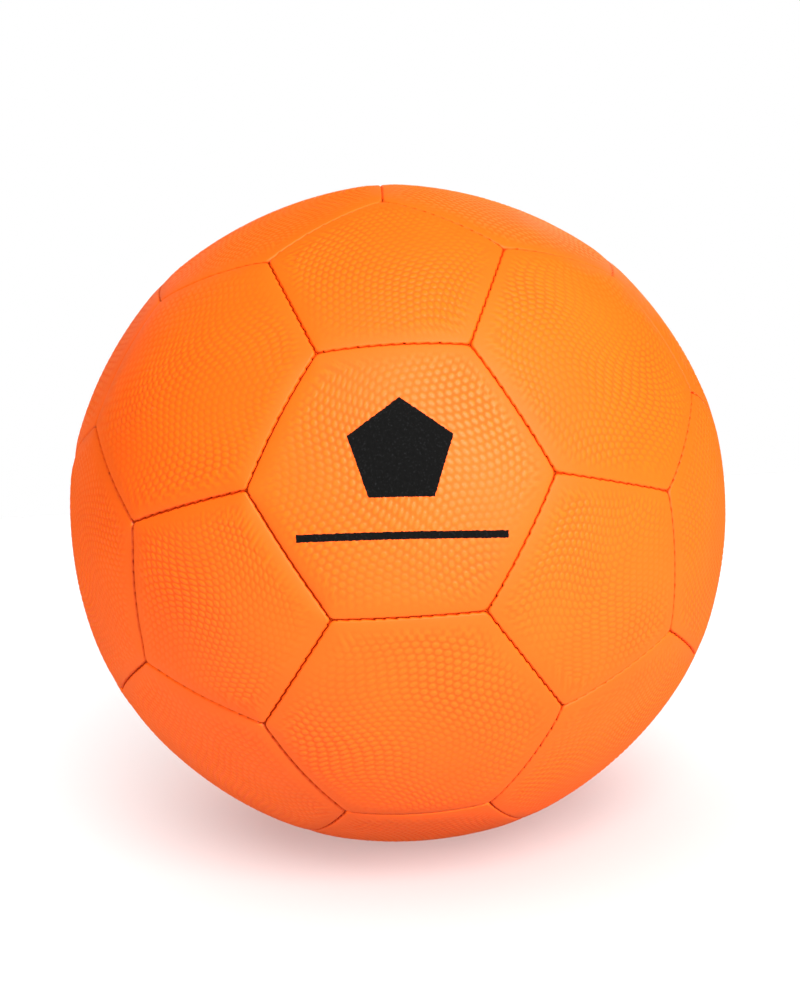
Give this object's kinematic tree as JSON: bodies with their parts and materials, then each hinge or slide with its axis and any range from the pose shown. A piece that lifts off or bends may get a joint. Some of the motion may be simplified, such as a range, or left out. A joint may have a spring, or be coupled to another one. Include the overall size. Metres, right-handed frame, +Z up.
{
  "type": "soccer ball",
  "caption": "Round inflatable ball of sewn hexagon and pentagon panels over an air bladder, with a rubber needle valve.",
  "frame": {"origin": "centre of the ball", "axes": "+Z up as the ball lies; the front hexagon faces -Y and leans back 15 degrees; +X is a two-fold axis of the panel layout; the valve is opposite the front hexagon"},
  "size_m": [0.219, 0.2184, 0.2194],
  "materials": {
    "cover": "fluorescent orange grained synthetic leather, satin",
    "thread": "waxed polyester thread, dark red-brown",
    "bladder_rubber": "black butyl rubber, matt",
    "valve_rubber": "black butyl rubber, satin",
    "backing_cloth": "off-white woven cotton and polyester backing"
  },
  "bodies": {
    "root": {"hexagon_panel_01": "cover", "hexagon_panel_02": "cover", "hexagon_panel_03": "cover", "hexagon_panel_04": "cover", "hexagon_panel_05": "cover", "hexagon_panel_06": "cover", "hexagon_panel_07": "cover", "hexagon_panel_08": "cover", "hexagon_panel_09": "cover", "hexagon_panel_10": "cover", "hexagon_panel_11": "cover", "hexagon_panel_12": "cover", "hexagon_panel_13": "cover", "hexagon_panel_14": "cover", "hexagon_panel_15": "cover", "hexagon_panel_16": "cover", "hexagon_panel_17": "cover", "hexagon_panel_18": "cover", "hexagon_panel_19": "cover", "hexagon_panel_20": "cover", "pentagon_panel_01": "cover", "pentagon_panel_02": "cover", "pentagon_panel_03": "cover", "pentagon_panel_04": "cover", "pentagon_panel_05": "cover", "pentagon_panel_06": "cover", "pentagon_panel_07": "cover", "pentagon_panel_08": "cover", "pentagon_panel_09": "cover", "pentagon_panel_10": "cover", "pentagon_panel_11": "cover", "pentagon_panel_12": "cover", "seam_thread": "thread", "bladder": "bladder_rubber", "valve_housing": "valve_rubber", "valve_core": "valve_rubber", "valve_patch": "backing_cloth"}
  },
  "joints": []
}
